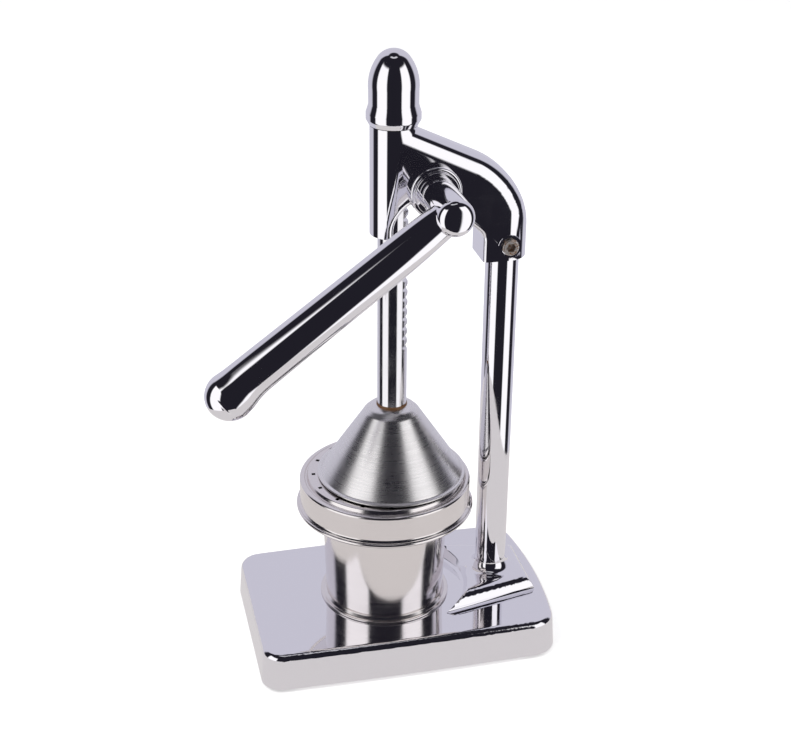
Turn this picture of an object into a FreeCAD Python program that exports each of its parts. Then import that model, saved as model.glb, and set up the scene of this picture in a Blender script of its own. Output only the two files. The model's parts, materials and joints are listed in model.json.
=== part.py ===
import FreeCAD, Part
import math
import os
import re
import Sketcher

# Lever citrus press, in millimetres. +Z is up from the bench, the cup stands towards -Y, the column
# stands towards +Y and the lever is on the +X side.

V = FreeCAD.Vector
doc = FreeCAD.newDocument("CitrusPress")
sizes = doc.addObject("Spreadsheet::Sheet", "Sizes")

# Driving dimensions: alias and value. Heights are above the bench unless the name says otherwise.
driving = [
    # places
    ("pressX", -1.75), ("pressY", 9.2),
    ("columnBack", 67.2), ("pivotBack", 21.0), ("pivotUp", 302.0),
    # clearances
    ("runningGap", 0.06), ("faceGap", 0.3), ("boltGap", 0.4),
    # base casting
    ("baseFront", 93.3), ("baseRear", 94.5), ("rearBow", 6.5), ("baseHalf", 61.5), ("sideBow", 1.5),
    ("rimUp", 2.7), ("baseTop", 26.0), ("baseDraft", 4.0), ("baseWall", 4.5), ("wallDraft", 1.0),
    ("frontCorner", 13.0), ("rearCorner", 17.0), ("baseEdge", 4.5), ("hollowCorner", 10.0),
    # raised plateau round the column
    ("humpTop", 35.0), ("seatRadius", 46.7), ("seatSlope", 26.0), ("humpRear", 91.0),
    ("humpFrontHalf", 39.0), ("humpFrontBack", 20.0), ("humpRearHalf", 23.5), ("humpSlope", 10.0),
    ("humpEdge", 9.0),
    # column
    ("columnRadius", 10.0), ("columnWall", 2.0), ("rootFlare", 7.0), ("spigotTall", 16.0),
    ("columnTop", 290.0), ("plugTall", 16.0), ("boltRadius", 4.0), ("boltHeadRadius", 6.5),
    ("boltHeadTall", 5.3), ("boltGrip", 12.0), ("columnWasherRadius", 11.0), ("columnWasherThick", 1.6),
    ("columnBossRadius", 15.0), ("columnBossUp", 10.0),
    # rubber feet
    ("footRadius", 10.0), ("footInset", 13.0), ("footTall", 6.5), ("footSpigot", 6.0), ("footEdge", 0.8),
    ("footRecessRadius", 4.0), ("footRecessDeep", 3.0), ("footBossRadius", 7.5), ("footScrewRadius", 1.8),
    ("footScrewHead", 3.6), ("footScrewHeadTall", 2.0), ("footScrewLong", 12.0), ("crossWide", 0.9),
    # head casting
    ("tubeRadius", 13.65), ("tubeLow", 273.4), ("tubeHigh", 338.0), ("ridgeSlope", 24.7),
    ("ridgeStartUp", 335.4), ("ridgeArc", 53.9), ("headBack", 80.8), ("socketLow", 255.0),
    ("ridgeRound", 11.0), ("archFrontRadius", 19.0), ("archFrontBack", 17.0),
    ("archFrontUp", 277.0), ("archRearRadius", 8.0), ("archRearBack", 43.8), ("archRearUp", 268.0),
    ("archRound", 3.0), ("bossRadius", 15.2), ("bossNear", 19.5), ("bossFar", 17.5),
    ("socketDeep", 36.0),
    # clamp screw in the rear socket
    ("clampUp", 264.5), ("clampHeadRadius", 5.0), ("clampHeadTall", 5.0), ("clampSeat", 12.4),
    ("clampRadius", 3.0), ("clampSocket", 2.5), ("clampSocketDeep", 3.0), ("clampBossRadius", 7.0),
    ("clampBossTall", 1.6), ("clampEdge", 0.8),
    # rack and pinion
    ("module", 2.0), ("pinionTeeth", 14.0), ("pinionWide", 12.0), ("rackTip", 1.6), ("backlash", 0.12),
    ("rackSpacesBelow", 16.0), ("rackSpacesAbove", 3.0), ("slotGap", 0.8), ("keyWide", 4.0),
    ("keyTall", 4.0),
    # lever shaft and its bearings
    ("shaftRadius", 6.0), ("bushWall", 2.0), ("shaftInHub", 30.0), ("shaftTail", 5.2),
    ("endWasherRadius", 10.0), ("endWasherThick", 1.5), ("clipRadius", 7.6), ("clipThick", 1.2),
    ("clipGroove", 0.8), ("bossWasherRadius", 13.0), ("bossWasherThick", 2.0),
    # lever
    ("hubRadius", 10.8), ("hubEnd", 61.5), ("hubDome", 5.0), ("armOut", 53.0), ("armDrop", 37.4),
    ("armRoot", 11.0), ("armTip", 12.7), ("armFlat", 0.86), ("armLong", 152.0), ("bulbRadius", 14.6),
    ("bulbOut", 7.5), ("bulbDrop", 1.5), ("setScrewRadius", 3.0), ("setScrewBite", 1.0),
    ("setScrewOut", 34.0), ("setScrewSocket", 1.5), ("setScrewSocketDeep", 2.5), ("hubEdge", 0.8),
    # rod
    ("rodRadius", 9.0), ("studRadius", 5.0), ("studLong", 10.0),
    ("topStudRadius", 6.0), ("topStudLong", 22.0), ("collarWall", 0.3), ("collarTall", 2.7),
    # cap
    ("capTall", 42.9), ("capRadius", 14.4), ("capBend", 46.0), ("crownRadius", 9.65), ("crownTall", 5.2),
    ("skirtRadius", 15.8), ("skirtLip", 1.9), ("skirtLow", 3.2), ("skirtHigh", 7.0), ("waistUp", 11.5),
    ("capBodyTall", 20.0),
    # press bell
    ("bellWall", 1.5), ("bellDisc", 15.5), ("bellTall", 42.5), ("bellMouth", 43.5),
    ("bellRimRadius", 46.5), ("bellRimTall", 2.8), ("bellRimGap", 0.7), ("bellRimEdge", 1.2),
    ("bellDiscEdge", 0.8),
    ("nutAcross", 8.0), ("nutTall", 5.0),
    # juice cup
    ("cupForward", 4.2), ("cupWall", 1.2), ("cupFootRadius", 41.5), ("cupLowRadius", 37.8),
    ("cupHighRadius", 39.3), ("cupFootTall", 6.0), ("cupBodyTall", 51.0), ("cupThroatTall", 8.5),
    ("cupLipShow", 1.1), ("cupLipThick", 2.5), ("cupFloorRise", 4.0),
    # strainer pan
    ("panWall", 1.2), ("panRadius", 53.6), ("flareWide", 1.1), ("flareTall", 4.0), ("panTall", 17.5),
    ("panShoulder", 3.0), ("panRim", 4.1), ("grooveDrop", 0.9), ("grooveWide", 1.5),
    ("plateRise", 2.0), ("panMouth", 36.8), ("drainInset", 2.5), ("drainSide", 2.6), ("drainCount", 16.0),
    # reamer
    ("reamerWall", 1.0), ("reamerRadius", 35.0), ("reamerFlange", 43.0), ("reamerTall", 27.5),
    ("ribCount", 12.0), ("ribWide", 2.6), ("ribTall", 1.5), ("slotCount", 24.0), ("slotWide", 2.4),
    ("slotTall", 7.0),
]
for row, (alias, value) in enumerate(driving, start=1):
    sizes.set(f"A{row}", alias)
    sizes.set(f"B{row}", str(value))
    sizes.setAlias(f"B{row}", alias)
aliases = {alias for alias, value in driving}
doc.recompute()

# Heights and places that follow from the driving dimensions: the cup stands on the base, the strainer on
# the cup's lip, and the bell stops just above the strainer.
stacked = {
    "panFlare": "panRadius + flareWide",
    "grooveRadius": "panRadius - panRim",
    "plateRadius": "grooveRadius - grooveWide",
    "drainCircle": "plateRadius - drainInset",
    "cupLipRadius": "panFlare + cupLipShow",
    "cupFloor": "baseTop + cupFloorRise",
    "cupBodyLow": "baseTop + cupFootTall",
    "cupBodyHigh": "cupBodyLow + cupBodyTall",
    "cupLipUp": "cupBodyHigh + cupThroatTall",
    "cupTop": "cupLipUp + cupLipThick",
    "panTop": "cupTop + panTall",
    "grooveUp": "panTop - grooveDrop",
    "plateUp": "panTop + plateRise",
    "reamerTop": "plateUp + reamerTall",
    "bellRimLow": "plateUp + bellRimGap",
    "bellMouthUp": "bellRimLow + bellRimTall",
    "bellTop": "bellMouthUp + bellTall",
    "capLow": "tubeHigh + faceGap",
    "capTop": "capLow + capTall",
    "bulbAt": "armLong + bulbOut",
}


def link(text):
    # an expression in which each alias, or each name in stacked, is written as a plain word
    def known(word):
        if word[0] in stacked:
            return f"({link(stacked[word[0]])})"
        return f"Sizes.{word[0]}" if word[0] in aliases else word[0]

    return re.sub("[A-Za-z]+", known, text)


def size(text):
    return float(sizes.evalExpression(link(text)))


def bind(item, **links):
    for name, text in links.items():
        item.setExpression(name.replace("_", "."), link(text))


def place(item, y="pressY", z="0"):
    bind(item, Placement_Base_x="pressX", Placement_Base_y=y, Placement_Base_z=z)


def primitive(kind, label, **links):
    item = doc.addObject(f"Part::{kind}", label)
    bind(item, **links)
    return item


def combine(kind, label, base, tool):
    item = doc.addObject(f"Part::{kind}", label)
    item.Base = base
    item.Tool = tool
    return item


def feature(label, shape, y="pressY"):
    item = doc.addObject("Part::Feature", label)
    item.Shape = shape
    item.Placement.Base = V(size("pressX"), size(y), 0)
    return item


# Sketches whose corners are given as pairs of expressions. A third value is the radius of the arc
# that leads to the next corner, positive when it turns left.

def arcBetween(start, end, radius):
    chord = end - start
    middle = (start + end) / 2
    left = V(-chord.y, chord.x, 0).normalize()
    rise = math.sqrt(radius * radius - chord.Length ** 2 / 4)
    centre = middle + left * math.copysign(rise, radius)
    ends = (start, end) if radius > 0 else (end, start)
    angles = [math.atan2(point.y - centre.y, point.x - centre.x) for point in ends]
    return Part.ArcOfCircle(Part.Circle(centre, V(0, 0, 1), abs(radius)), *angles)


def sketchOn(body, role, label, offset="0"):
    sketch = body.newObject("Sketcher::SketchObject", label)
    plane = [item for item in body.Origin.OriginFeatures if item.Role == role][0]
    sketch.AttachmentSupport = [(plane, "")]
    sketch.MapMode = "FlatFace"
    bind(sketch, AttachmentOffset_Base_z=offset)
    return sketch


def fix(sketch, kind, geometry, point, text):
    number = sketch.addConstraint(Sketcher.Constraint(kind, -1, 1, geometry, point, size(text)))
    sketch.setExpression(f"Constraints[{number}]", link(text))


def outline(sketch, corners):
    spots = [V(size(corner[0]), size(corner[1]), 0) for corner in corners]
    count = len(corners)
    ends = []
    for index, corner in enumerate(corners):
        start, end = spots[index], spots[(index + 1) % count]
        if len(corner) == 2:
            sketch.addGeometry(Part.LineSegment(start, end))
            ends.append((1, 2))
        else:
            radius = size(corner[2])
            arc = sketch.addGeometry(arcBetween(start, end, radius))
            number = sketch.addConstraint(Sketcher.Constraint("Radius", arc, abs(radius)))
            sketch.setExpression(f"Constraints[{number}]", link(f"abs({corner[2]})"))
            ends.append((1, 2) if radius > 0 else (2, 1))
    for index, corner in enumerate(corners):
        following = (index + 1) % count
        sketch.addConstraint(
            Sketcher.Constraint("Coincident", index, ends[index][1], following, ends[following][0]))
        fix(sketch, "DistanceX", index, ends[index][0], corner[0])
        fix(sketch, "DistanceY", index, ends[index][0], corner[1])
    return sketch


def circles(sketch, centres, radius):
    for x, y in centres:
        spot = V(size(x), size(y), 0)
        ring = sketch.addGeometry(Part.Circle(spot, V(0, 0, 1), size(radius)))
        number = sketch.addConstraint(Sketcher.Constraint("Radius", ring, size(radius)))
        sketch.setExpression(f"Constraints[{number}]", link(radius))
        fix(sketch, "DistanceX", ring, 3, x)
        fix(sketch, "DistanceY", ring, 3, y)
    return sketch


def newBody(label, y="pressY", z="0"):
    body = doc.addObject("PartDesign::Body", label)
    place(body, y, z)
    return body


def grow(body, kind, label, sketch, length, taper=0.0, down=False):
    item = body.newObject(f"PartDesign::{kind}", label)
    item.Profile = sketch
    item.Reversed = down
    bind(item, Length=length)
    if taper:
        bind(item, TaperAngle=taper)
    doc.recompute()
    return item


def turned(label, corners, y="pressY"):
    # a body of revolution: corners are radius and height
    body = newBody(label, y)
    sketch = outline(sketchOn(body, "XZ_Plane", f"{label}Outline"), corners)
    spin = body.newObject("PartDesign::Revolution", f"{label}Turned")
    spin.Profile = sketch
    spin.ReferenceAxis = (sketch, ["V_Axis"])
    spin.Angle = 360
    doc.recompute()
    return body


def rounded(body, label, base, radius, test):
    names = [f"Edge{n}" for n, edge in enumerate(base.Shape.Edges, start=1) if test(edge)]
    item = body.newObject("PartDesign::Fillet", label)
    item.Base = (base, names)
    bind(item, Radius=radius)
    doc.recompute()
    return item


def spread(edge):
    box = edge.BoundBox
    return box.XMin, box.XMax, box.YMin, box.YMax, box.ZMin, box.ZMax


# Base casting: a drafted box with bowed sides, hollow underneath, with a plateau for the column.

def makeBase():
    body = newBody("base_casting", z="rimUp")
    tall = "(baseTop - rimUp)"
    sideArc = "((baseFront + baseRear) ^ 2 / (8 * sideBow) + sideBow / 2)"
    rearArc = "(baseHalf ^ 2 / (2 * rearBow) + rearBow / 2)"
    corners = [
        ("-baseHalf", "-baseFront"),
        ("baseHalf", "-baseFront", sideArc),
        ("baseHalf", "baseRear", rearArc),
        ("-baseHalf", "baseRear", sideArc),
    ]
    block = grow(body, "Pad", "BaseBlock", outline(sketchOn(body, "XY_Plane", "BaseOutline"), corners),
                 tall, taper="-baseDraft")

    def upright(edge):
        low, high = spread(edge)[4:]
        return high - low > size(tall) - 0.1

    front = rounded(body, "FrontCorners", block, "frontCorner",
                    lambda edge: upright(edge) and spread(edge)[2] < 0)
    square = [edge for edge in front.Shape.Edges if upright(edge) and spread(edge)[3] > size("baseRear") - 3
              and abs(edge.CenterOfMass.x) > size("baseHalf") - 4]
    spots = [edge.CenterOfMass for edge in square]
    rear = rounded(body, "RearCorners", front, "rearCorner",
                   lambda edge: any((edge.CenterOfMass - spot).Length < 0.01 for spot in spots))

    def onTop(edge):
        return spread(edge)[4] > size(tall) - 0.01

    topEdge = rounded(body, "TopEdge", rear, "baseEdge", onTop)

    plateau = [
        ("-humpFrontHalf", "humpFrontBack"),
        ("humpFrontHalf", "humpFrontBack"),
        ("humpRearHalf", "humpRear"),
        ("-humpRearHalf", "humpRear"),
    ]
    hump = outline(sketchOn(body, "XY_Plane", "PlateauOutline", tall), plateau)
    raised = grow(body, "Pad", "Plateau", hump, "humpTop - baseTop", taper="-humpSlope")
    rounded(body, "PlateauEdge", raised, "humpEdge",
            lambda edge: spread(edge)[4] > size("humpTop - rimUp") - 0.01)

    # the flared root and the spigot that the column tube stands on
    rootSketch = sketchOn(body, "XZ_Plane", "RootOutline", "-columnBack")
    low = "(humpTop - rimUp)"
    inner = "(columnRadius - columnWall)"
    outline(rootSketch, [
        ("0", f"{low} - rootFlare"),
        ("columnRadius + rootFlare", f"{low} - rootFlare"),
        ("columnRadius + rootFlare", low, "-rootFlare * 1.0001"),
        ("columnRadius", f"{low} + rootFlare"),
        (inner, f"{low} + rootFlare"),
        (inner, f"{low} + rootFlare + spigotTall"),
        ("0", f"{low} + rootFlare + spigotTall"),
    ])
    root = body.newObject("PartDesign::Revolution", "ColumnRoot")
    root.Profile = rootSketch
    root.ReferenceAxis = (rootSketch, ["V_Axis"])
    root.Angle = 360
    doc.recompute()

    # the cup's seat is cut last, so it trims the plateau and the flare alike
    seat = circles(sketchOn(body, "XY_Plane", "SeatCircle", tall), [("0", "0")], "seatRadius")
    grow(body, "Pocket", "CupSeat", seat, "humpTop - baseTop + rootFlare", taper="seatSlope", down=True)

    # hollow underside, with bosses for the feet and the column bolt
    inset = "(baseWall + wallDraft)"
    hollow = outline(sketchOn(body, "XY_Plane", "HollowOutline"), [
        (f"-(baseHalf - {inset} - hollowCorner)", f"-(baseFront - {inset})"),
        (f"baseHalf - {inset} - hollowCorner", f"-(baseFront - {inset})", "hollowCorner"),
        (f"baseHalf - {inset}", f"-(baseFront - {inset} - hollowCorner)"),
        (f"baseHalf - {inset}", f"baseRear - {inset} - hollowCorner", "hollowCorner"),
        (f"baseHalf - {inset} - hollowCorner", f"baseRear - {inset}"),
        (f"-(baseHalf - {inset} - hollowCorner)", f"baseRear - {inset}", "hollowCorner"),
        (f"-(baseHalf - {inset})", f"baseRear - {inset} - hollowCorner"),
        (f"-(baseHalf - {inset})", f"-(baseFront - {inset} - hollowCorner)", "hollowCorner"),
    ])
    grow(body, "Pocket", "Hollow", hollow, f"{tall} - baseWall", down=True)
    seatUp = "footTall - rimUp"
    feet = circles(sketchOn(body, "XY_Plane", "FootBossCircles", seatUp), footSpots(), "footBossRadius")
    grow(body, "Pad", "FootBosses", feet, "baseTop - footTall - baseWall / 2")
    middle = [("0", "columnBack")]
    bossUp = "columnBossUp - rimUp"
    boss = circles(sketchOn(body, "XY_Plane", "ColumnBossCircle", bossUp), middle, "columnBossRadius")
    grow(body, "Pad", "ColumnBoss", boss, "baseTop - columnBossUp - baseWall / 2")
    bore = circles(sketchOn(body, "XY_Plane", "BoltBoreCircle"), middle, "boltRadius + boltGap")
    grow(body, "Pocket", "BoltBore", bore, "humpTop + rootFlare + spigotTall", down=True)
    pilots = circles(sketchOn(body, "XY_Plane", "FootPilotCircles", seatUp), footSpots(), "footScrewRadius")
    grow(body, "Pocket", "FootPilots", pilots, "footScrewLong", down=True)
    return body


def footSpots():
    side = "(baseHalf - footInset)"
    return [(f"-{side}", "-(baseFront - footInset)"), (side, "-(baseFront - footInset)"),
            (side, "baseRear - footInset"), (f"-{side}", "baseRear - footInset")]


def atFeet(shape):
    return Part.makeCompound([shape.translated(V(size(x), size(y), 0)) for x, y in footSpots()])


def makeFeet():
    pad = Part.makeCylinder(size("footRadius"), size("rimUp"))
    pad = pad.makeChamfer(size("footEdge"), [edge for edge in pad.Edges if spread(edge)[5] < 0.01])
    spigot = Part.makeCylinder(size("footSpigot"), size("footTall"))
    recess = Part.makeCylinder(size("footRecessRadius"), size("footRecessDeep"))
    hole = Part.makeCylinder(size("footScrewRadius"), size("footTall"))
    return feature("rubber_feet", atFeet(pad.fuse(spigot).cut([recess, hole])))


def makeFootScrews():
    seat, tall, narrow = size("footRecessDeep"), size("footScrewHeadTall"), size("crossWide")
    head = Part.makeCylinder(size("footScrewHead"), tall, V(0, 0, seat - tall))
    rims = [edge for edge in head.Edges if spread(edge)[5] < seat - tall / 2]
    head = head.makeFillet(size("footEdge"), rims)
    shank = Part.makeCylinder(size("footScrewRadius"), size("footScrewLong"), V(0, 0, seat - tall / 2))
    slots = []
    for long, wide in ((size("footScrewHead"), narrow), (narrow, size("footScrewHead"))):
        slots.append(Part.makeBox(long, wide, seat - tall / 2, V(-long / 2, -wide / 2, 0)))
    return feature("foot_screws", atFeet(head.fuse(shank).cut(slots)))


# Column: a tube on the spigot, a threaded plug inside it, and a bolt from under the base.

def ring(label, outer, inner, tall):
    outside = primitive("Cylinder", f"{label}Outside", Radius=outer, Height=tall)
    inside = primitive("Cylinder", f"{label}Inside", Radius=inner, Height=tall)
    return combine("Cut", label, outside, inside)


def makeColumn():
    foot, axis = "(humpTop + rootFlare)", "pressY + columnBack"
    bore = "columnRadius - columnWall"
    place(ring("column_tube", "columnRadius", bore, f"columnTop - {foot}"), axis, foot)
    place(ring("column_plug", bore, "boltRadius", "plugTall"), axis, f"{foot} + spigotTall")
    washer = ring("column_washer", "columnWasherRadius", "boltRadius + boltGap", "columnWasherThick")
    place(washer, axis, "columnBossUp - columnWasherThick")

    headLow = "columnBossUp - columnWasherThick - boltHeadTall"
    head = primitive("Prism", "BoltHead", Polygon="6", Circumradius="boltHeadRadius / cos(30 deg)",
                     Height="boltHeadTall")
    shank = primitive("Cylinder", "BoltShank", Radius="boltRadius",
                      Height=f"{foot} + spigotTall + boltGrip - ({headLow})")
    place(combine("Fuse", "column_bolt", head, shank), axis, headLow)


# Head casting: a plate with round ends in plan, an arch cut from below, the guide bore for the rod,
# the slot for the pinion, bosses for the lever shaft and a blind socket for the column.

def sidePlate(points, wide):
    # points are back and height from the press axis, extruded across X
    wire = Part.makePolygon([V(-wide, back, up) for back, up in [*points, points[0]]])
    return Part.Face(wire).extrude(V(2 * wide, 0, 0))


def across(radius, back, up, low, high):
    return Part.makeCylinder(radius, high - low, V(low, back, up), V(1, 0, 0))


def makeHead():
    tube, column = size("tubeRadius"), size("columnBack")
    back, pivot = size("headBack"), V(0, size("pivotBack"), size("pivotUp"))
    low, wide = size("socketLow"), 3 * tube

    # side view: sloping ridge, then one arc down to the rear of the socket
    slope = math.radians(size("ridgeSlope"))
    bend = size("ridgeArc")
    centre = V(0, back - bend, 0)
    ridgeEnd = centre + V(0, math.sin(slope), math.cos(slope)) * bend
    ridgeEnd.z = size("ridgeStartUp") - math.tan(slope) * (ridgeEnd.y - tube)
    centre.z = ridgeEnd.z - math.cos(slope) * bend
    ridgeStart = V(0, 0, size("ridgeStartUp") + math.tan(slope) * tube)
    middle = (math.pi / 2 - slope) / 2
    bulge = centre + V(0, math.cos(middle), math.sin(middle)) * bend
    rearTop, rearLow, frontLow = centre + V(0, bend, 0), V(0, back, low), V(0, 0, low)
    edges = [
        Part.LineSegment(ridgeStart, ridgeEnd).toShape(),
        Part.Arc(ridgeEnd, bulge, rearTop).toShape(),
        Part.LineSegment(rearTop, rearLow).toShape(),
        Part.LineSegment(rearLow, frontLow).toShape(),
        Part.LineSegment(frontLow, ridgeStart).toShape(),
    ]
    side = Part.Face(Part.Wire(edges)).extrude(V(2 * wide, 0, 0))
    side.translate(V(-wide, 0, 0))

    # plan view: flat sides with a round rear end that follows the column
    tall = size("ridgeStartUp") + tube
    plan = Part.makeBox(2 * tube, back - tube, tall, V(-tube, 0, 0))
    plan = plan.fuse(Part.makeCylinder(tube, tall, V(0, back - tube, 0))).removeSplitter()
    plate = side.common(plan)
    ridge = []
    for edge in plate.Edges:
        left, right, front, rear, under, over = spread(edge)
        alongTop = under > centre.z * 0.99 and right - left < tube * 1.1
        if alongTop and rear > ridgeEnd.y / 2 and rear - front > tube / 4:
            ridge.append(edge)
    plate = plate.makeFillet(size("ridgeRound"), ridge)

    # the arch: two circles joined, open downwards
    frontArch = V(0, size("archFrontBack"), size("archFrontUp"))
    rearArch = V(0, size("archRearBack"), size("archRearUp"))
    frontBend, rearBend = size("archFrontRadius"), size("archRearRadius")
    span = rearArch - frontArch
    lean = math.atan2(span.z, span.y) + math.acos((frontBend - rearBend) / span.Length)
    touch = V(0, math.cos(lean), math.sin(lean))
    topFront, topRear = frontArch + touch * frontBend, rearArch + touch * rearBend
    arch = sidePlate([(frontArch.y - frontBend, low - 1), (frontArch.y - frontBend, frontArch.z),
                      (topFront.y, topFront.z), (topRear.y, topRear.z),
                      (rearArch.y + rearBend, rearArch.z), (rearArch.y + rearBend, low - 1)], wide)
    arch = arch.fuse(across(frontBend, frontArch.y, frontArch.z, -wide, wide))
    arch = arch.fuse(across(rearBend, rearArch.y, rearArch.z, -wide, wide)).removeSplitter()
    nose = Part.makeBox(2 * wide, 2 * tube, size("tubeLow") - low + 1, V(-wide, -tube, low - 1))
    body = plate.cut(nose)

    guide = Part.makeCylinder(tube, size("tubeHigh - tubeLow"), V(0, 0, size("tubeLow")))
    above = Part.makeBox(4 * tube, 4 * tube, tube, V(-2 * tube, -2 * tube, size("tubeHigh")))
    body = body.fuse(guide).cut([above, arch]).removeSplitter()
    shape = (frontArch, frontBend, topFront, topRear, rearArch, rearBend)
    rims = [edge for edge in body.Edges if onArch(edge, *shape)]
    body = body.makeFillet(size("archRound"), rims)

    # shaft bosses, clamp screw boss
    body = body.fuse(across(size("bossRadius"), pivot.y, pivot.z, -size("bossFar"), size("bossNear")))
    clamp = size("clampUp")
    body = body.fuse(across(size("clampBossRadius"), column, clamp, 0, tube + size("clampBossTall")))

    # bores
    rodBore = Part.makeCylinder(size("rodRadius + runningGap"), tall, V(0, 0, low))
    hollow = size("pinionWide / 2 + slotGap")
    reach = size("module * pinionTeeth / 2 + module + slotGap")
    slot = across(reach, pivot.y, pivot.z, -hollow, hollow)
    slot = slot.fuse(Part.makeBox(2 * hollow, 2 * reach, pivot.z - low, V(-hollow, pivot.y - reach, low)))
    slot = slot.fuse(Part.makeBox(2 * hollow, pivot.y, 2 * reach, V(-hollow, 0, pivot.z - reach)))
    bushBore = across(size("shaftRadius + bushWall"), pivot.y, pivot.z, -wide, wide)
    socket = Part.makeCylinder(size("columnRadius"), size("socketDeep"), V(0, column, low))
    clampHole = across(size("clampRadius"), column, clamp, 0, wide)
    clampSink = across(size("clampHeadRadius + boltGap"), column, clamp, size("clampSeat"), wide)
    body = body.cut([rodBore, slot, bushBore, socket, clampHole, clampSink])
    return feature("head_casting", body.removeSplitter())


def onArch(edge, frontArch, frontBend, topFront, topRear, rearArch, rearBend):
    # true where an edge is the arch's own rim on the outside of the casting
    middle = edge.valueAt((edge.FirstParameter + edge.LastParameter) / 2)
    flat = V(0, middle.y, middle.z)
    nearFront = abs((flat - frontArch).Length - frontBend) < 0.01 and middle.z > frontArch.z
    nearRear = abs((flat - rearArch).Length - rearBend) < 0.01 and middle.y > rearArch.y
    onSlope = flat.distanceToLine(topFront, topRear - topFront) < 0.01
    onFront = abs(middle.y - frontArch.y + frontBend) < 0.01
    onRear = abs(middle.y - rearArch.y - rearBend) < 0.01
    return abs(middle.x) > size("tubeRadius") / 2 and (nearFront or nearRear or onSlope or onFront or onRear)


def makeClampScrew():
    seat, column, up = size("clampSeat"), size("columnBack"), size("clampUp")
    head = across(size("clampHeadRadius"), column, up, seat, seat + size("clampHeadTall"))
    head = head.makeFillet(size("clampEdge"), [edge for edge in head.Edges if spread(edge)[0] > seat + 1])
    floor = seat + size("clampHeadTall - clampSocketDeep")
    corner = size("clampSocket") / math.cos(math.pi / 6)
    angles = [step * math.pi / 3 for step in range(7)]
    flats = [V(floor, column + corner * math.cos(angle), up + corner * math.sin(angle)) for angle in angles]
    wrench = Part.Face(Part.makePolygon(flats)).extrude(V(size("clampHeadTall"), 0, 0))
    shank = across(size("clampRadius"), column, up, size("columnRadius"), seat + 0.5)
    return feature("head_clamp_screw", head.fuse(shank).cut(wrench))


# Rack and pinion: 20 degree teeth. The rack has stub tips, flush with a flat on the rod.

pressure = math.radians(20)


def makePinion():
    teeth = round(size("pinionTeeth"))
    pitch = size("module") * teeth / 2
    base, tip, root = pitch * math.cos(pressure), pitch + size("module"), pitch - 1.25 * size("module")

    def involute(radius):
        angle = math.acos(base / radius)
        return math.tan(angle) - angle

    half = (math.pi * size("module") / 2 - size("backlash")) / (2 * pitch) + involute(pitch)
    steps = [base + (tip - base) * step / 4 for step in range(5)]
    bore = size("shaftRadius")
    profile = []
    for tooth in range(teeth):
        middle = math.pi + 2 * math.pi * tooth / teeth

        def spot(radius, angle):
            return V(0, radius * math.cos(angle), radius * math.sin(angle))

        rising = [spot(radius, middle - half + involute(radius)) for radius in steps]
        falling = [spot(radius, middle + half - involute(radius)) for radius in reversed(steps)]
        gap = 2 * math.pi / teeth - 2 * half
        for flank in (rising, falling):
            curve = Part.BSplineCurve()
            curve.interpolate(flank)
            profile.append(curve.toShape())
        profile.append(Part.Arc(rising[-1], spot(tip, middle), falling[0]).toShape())
        foot = [spot(root, middle - half), spot(root, middle + half), spot(root, middle + half + gap / 2),
                spot(root, middle + half + gap)]
        profile.append(Part.LineSegment(foot[0], rising[0]).toShape())
        profile.append(Part.LineSegment(falling[-1], foot[1]).toShape())
        profile.append(Part.Arc(foot[1], foot[2], foot[3]).toShape())
    wire = Part.Wire(Part.__sortEdges__(profile))
    wide = size("pinionWide")
    gear = Part.Face(wire).extrude(V(wide, 0, 0))
    gear.translate(V(-wide / 2, size("pivotBack"), size("pivotUp")))
    gear = gear.cut(across(bore, size("pivotBack"), size("pivotUp"), -wide, wide))
    return feature("drive_pinion", gear.cut(keyBlock()))


def keyBlock():
    wide, tall = size("keyWide"), size("keyTall")
    low = size("pivotUp + shaftRadius - keyTall / 2")
    corner = V(-size("pinionWide") / 2, size("pivotBack") - wide / 2, low)
    return Part.makeBox(size("pinionWide"), wide, tall, corner)


def makeRod():
    radius, top = size("rodRadius"), size("capLow")
    low = size("bellTop")
    rod = Part.makeCylinder(radius, top - low, V(0, 0, low))
    pitchLine = size("pivotBack - module * pinionTeeth / 2")
    step = math.pi * size("module")
    deep, tip = 1.25 * size("module"), size("rackTip")
    half = step / 4 + size("backlash") / 4
    spaces = range(-round(size("rackSpacesBelow")), round(size("rackSpacesAbove")) + 1)
    cuts = []
    for space in spaces:
        middle = size("pivotUp") + space * step
        lean = math.tan(pressure)
        outer = radius - pitchLine + 1
        rows = [(pitchLine - deep, half - deep * lean), (pitchLine + outer, half + outer * lean)]
        corners = [(rows[0][0], middle - rows[0][1]), (rows[1][0], middle - rows[1][1]),
                   (rows[1][0], middle + rows[1][1]), (rows[0][0], middle + rows[0][1])]
        cuts.append(sidePlate(corners, 2 * radius))
    flatLow = size("pivotUp") + (spaces[0] - 0.75) * step
    flatHigh = size("pivotUp") + (spaces[-1] + 0.75) * step
    corner = V(-2 * radius, pitchLine + tip, flatLow)
    cuts.append(Part.makeBox(4 * radius, radius, flatHigh - flatLow, corner))
    rod = rod.cut(cuts)
    rod = rod.fuse(Part.makeCylinder(size("studRadius"), size("studLong"), V(0, 0, low - size("studLong"))))
    rod = rod.fuse(Part.makeCylinder(size("topStudRadius"), size("topStudLong"), V(0, 0, top)))
    return feature("rack_rod", rod.removeSplitter())


# Lever side: bushes, shaft, key, washers, clip, and the lever itself.

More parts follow.
